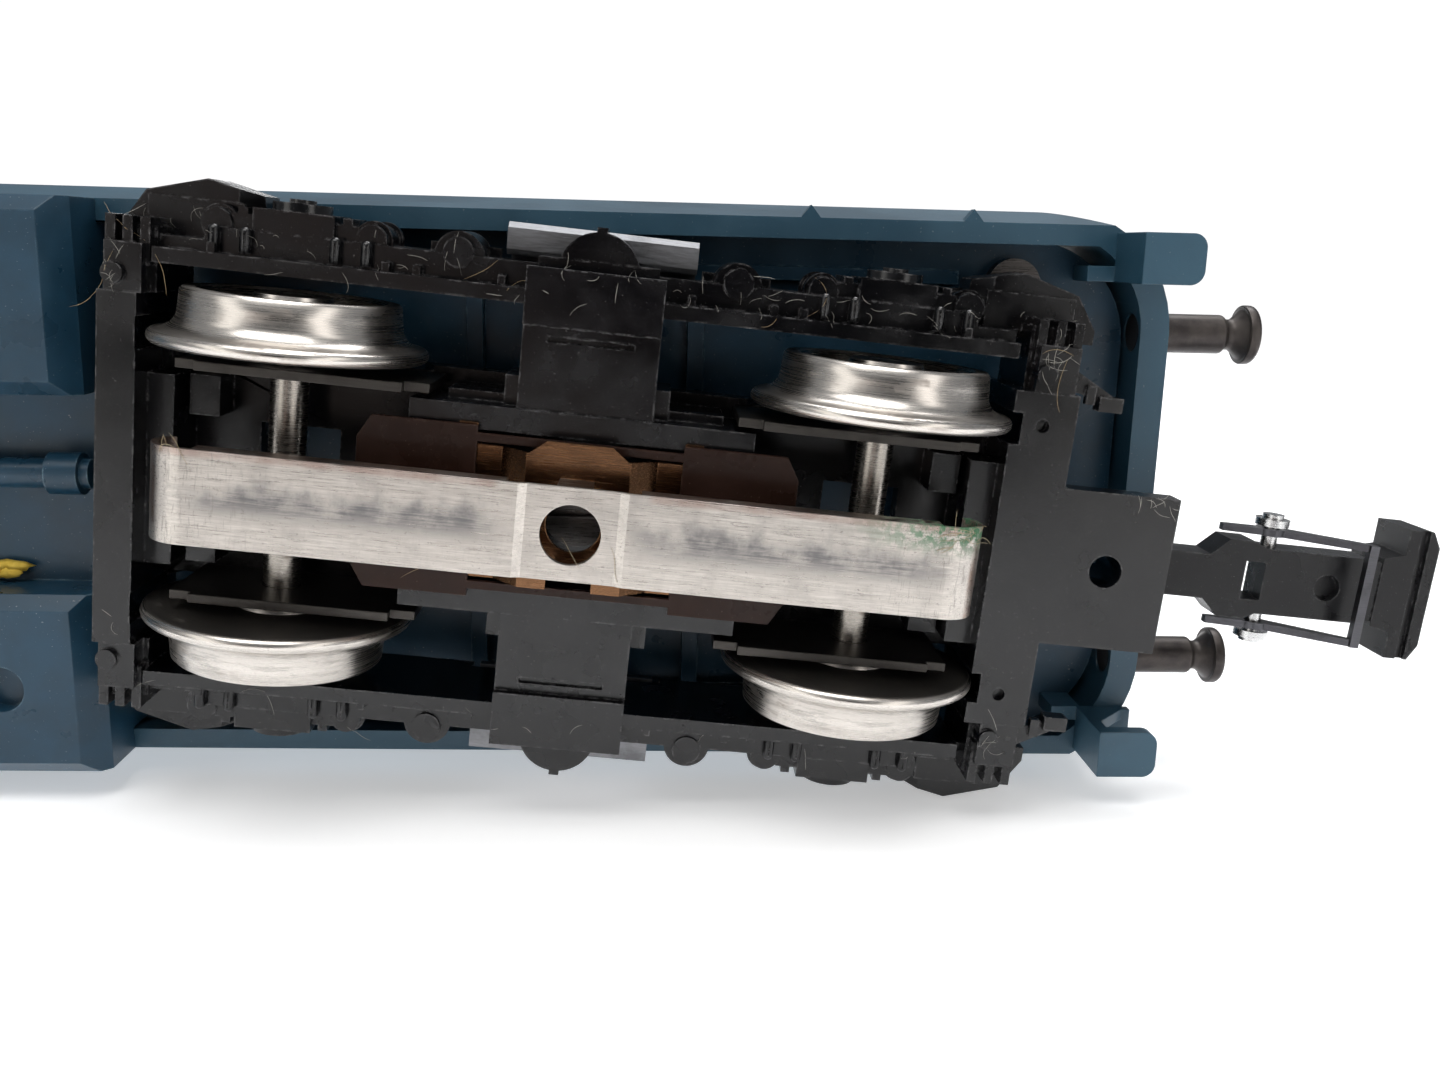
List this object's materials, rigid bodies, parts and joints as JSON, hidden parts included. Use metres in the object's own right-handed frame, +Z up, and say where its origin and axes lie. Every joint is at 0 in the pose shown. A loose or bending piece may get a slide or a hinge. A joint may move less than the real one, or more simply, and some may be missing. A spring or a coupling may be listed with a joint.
{
  "type": "model diesel locomotive",
  "caption": "Scale model diesel locomotive with swivelling bogies, turning wheelsets, geared motor drive, sprung pickup shoe and hinged hook couplers.",
  "frame": {"origin": "centre of the locomotive at the level of the wheel flanges' lowest point", "axes": "+X along the locomotive towards the trailing bogie and its pickup shoe, +Y to the left side, +Z up"},
  "size_m": [0.1971, 0.0348, 0.0531],
  "materials": {
    "body_blue": "satin moulded plastic",
    "chassis_blue": "satin moulded plastic",
    "clear_glazing": "clear",
    "grille_grey": "satin",
    "fan_black": "satin",
    "rail_wire": "satin paint",
    "lamp_lens": "clear",
    "lamp_glass": "clear",
    "buffer_metal": "blackened",
    "cast_weight": "as cast",
    "board_brown": "board",
    "component_black": "gloss",
    "brass_part": "machined",
    "steel_screw": "blackened",
    "cab_grey": "matt",
    "bogie_black": "satin moulded plastic",
    "bolster_grey": "brushed",
    "bearing_black": "blackened",
    "insulator_brown": "pressed card",
    "bronze_leaf": "rolled sheet",
    "nickel_silver": "worn sheet",
    "axle_steel": "turned",
    "wheel_nickel": "nickel plated",
    "coupler_black": "satin",
    "coupler_steel": "polished",
    "coupler_dark": "blackened strip",
    "motor_cast": "blackened casting",
    "magnet_grey": "as cast",
    "copper_wire": "copper",
    "carbon_black": "sintered",
    "gear_white": "moulded",
    "tyre_rubber": "rubber"
  },
  "bodies": {
    "body": {"body_shell": "body_blue", "windscreens": "clear_glazing", "side_windows": "clear_glazing", "side_grilles": "grille_grey", "roof_grille": "grille_grey", "radiator_fan": "fan_black", "exhaust_stack": "fan_black", "roof_horns": "rail_wire", "handrails": "rail_wire", "headlight_lenses": "lamp_lens", "wipers": "fan_black", "buffers": "buffer_metal", "corner_steps": "body_blue", "underframe": "chassis_blue", "fuel_tank": "chassis_blue", "brake_pipe": "chassis_blue", "ballast_weight": "cast_weight", "circuit_board": "board_brown", "board_components": "component_black", "lamp_bulbs": "lamp_glass", "lamp_sockets": "brass_part", "light_guides": "lamp_lens", "body_screws": "steel_screw", "cab_consoles": "cab_grey", "pivot_screws": "steel_screw"},
    "trailing_bogie": {"trailing_frame": "bogie_black", "trailing_side_frames": "bogie_black", "trailing_bolster": "bolster_grey", "trailing_bearings": "bearing_black", "insulating_plate": "insulator_brown", "leaf_spring": "bronze_leaf"},
    "shoe": {"pickup_shoe": "nickel_silver"},
    "trailing_wheelset_outer": {"trailing_axle_outer": "axle_steel", "trailing_wheels_outer": "wheel_nickel"},
    "trailing_wheelset_inner": {"trailing_axle_inner": "axle_steel", "trailing_wheels_inner": "wheel_nickel"},
    "front_coupler_body": {"front_coupler": "coupler_black", "front_coupler_pin": "coupler_steel"},
    "front_bail": {"front_coupler_bail": "coupler_dark"},
    "motor_bogie": {"motor_frame": "motor_cast", "motor_side_frames": "bogie_black", "field_magnet": "magnet_grey", "brush_plate": "insulator_brown", "carbon_brushes": "carbon_black", "brush_springs": "brass_part", "idler_pins": "axle_steel"},
    "armature_rotor": {"armature": "axle_steel", "armature_windings": "copper_wire", "commutator": "copper_wire", "armature_pinion": "brass_part"},
    "idler_outer": {"idler_gear_outer": "gear_white"},
    "idler_inner": {"idler_gear_inner": "gear_white"},
    "drive_wheelset_outer": {"drive_axle_outer": "axle_steel", "drive_wheels_outer": "wheel_nickel", "traction_tyres": "tyre_rubber"},
    "drive_wheelset_inner": {"drive_axle_inner": "axle_steel", "drive_wheels_inner": "wheel_nickel"},
    "rear_coupler_body": {"rear_coupler": "coupler_black", "rear_coupler_pin": "coupler_steel"},
    "rear_bail": {"rear_coupler_bail": "coupler_dark"}
  },
  "joints": [
    {"name": "trailing_bogie_swivel", "type": "hinge", "parent": "body", "child": "trailing_bogie", "pos_m": [0.0495, 0, 0.0115], "axis": [0, 0, 1], "range_deg": [-12.5, 2.5]},
    {"name": "motor_bogie_swivel", "type": "hinge", "parent": "body", "child": "motor_bogie", "pos_m": [-0.0495, 0, 0.0115], "axis": [0, 0, 1], "range_deg": [-7.5, 7.5]},
    {"name": "shoe_travel", "type": "slide", "parent": "trailing_bogie", "child": "shoe", "axis": [0, 0, 1], "range_m": [-0.0022, 0.0015], "stiffness_N_per_m": 60, "springref_m": -0.0022, "deforming": ["leaf_spring"]},
    {"name": "trailing_wheels_outer_spin", "type": "hinge", "parent": "trailing_bogie", "child": "trailing_wheelset_outer", "pos_m": [0.06544, 0.00139, 0.0072], "axis": [-0.0872, 0.9962, 0], "continuous": true},
    {"name": "trailing_wheels_inner_spin", "type": "hinge", "parent": "trailing_bogie", "child": "trailing_wheelset_inner", "pos_m": [0.03356, -0.00139, 0.0072], "axis": [-0.0872, 0.9962, 0], "continuous": true},
    {"name": "front_coupler_swing", "type": "hinge", "parent": "trailing_bogie", "child": "front_coupler_body", "pos_m": [0.07859, 0.00254, 0.0074], "axis": [0, 0, 1], "range_deg": [-10, 10]},
    {"name": "front_bail_lift", "type": "hinge", "parent": "front_coupler_body", "child": "front_bail", "pos_m": [0.0888, 0.00344, 0.00755], "axis": [0.0872, -0.9962, 0], "range_deg": [0, 10]},
    {"name": "drive_wheels_outer_spin", "type": "hinge", "parent": "motor_bogie", "child": "drive_wheelset_outer", "pos_m": [-0.0655, 0, 0.0072], "axis": [0, 1, 0], "continuous": true},
    {"name": "drive_wheels_inner_spin", "type": "hinge", "parent": "motor_bogie", "child": "drive_wheelset_inner", "pos_m": [-0.0335, 0, 0.0072], "axis": [0, 1, 0], "continuous": true},
    {"name": "idler_outer_spin", "type": "hinge", "parent": "motor_bogie", "child": "idler_outer", "pos_m": [-0.0579, 0, 0.01649], "axis": [0, 1, 0], "continuous": true},
    {"name": "idler_inner_spin", "type": "hinge", "parent": "motor_bogie", "child": "idler_inner", "pos_m": [-0.0411, 0, 0.01649], "axis": [0, 1, 0], "continuous": true},
    {"name": "armature_spin", "type": "hinge", "parent": "motor_bogie", "child": "armature_rotor", "pos_m": [-0.0495, 0, 0.02113], "axis": [0, 1, 0], "continuous": true},
    {"name": "rear_coupler_swing", "type": "hinge", "parent": "motor_bogie", "child": "rear_coupler_body", "pos_m": [-0.0787, 0, 0.0074], "axis": [0, 0, 1], "range_deg": [-10, 10]},
    {"name": "rear_bail_lift", "type": "hinge", "parent": "rear_coupler_body", "child": "rear_bail", "pos_m": [-0.08895, 0, 0.00755], "axis": [0, 1, 0], "range_deg": [0, 10]}
  ],
  "couplings": [
    {"joint": "drive_wheels_inner_spin", "follows": "drive_wheels_outer_spin", "ratio": 1},
    {"joint": "idler_outer_spin", "follows": "drive_wheels_outer_spin", "ratio": -0.66667},
    {"joint": "idler_inner_spin", "follows": "drive_wheels_outer_spin", "ratio": -0.66667},
    {"joint": "armature_spin", "follows": "drive_wheels_outer_spin", "ratio": 2}
  ]
}
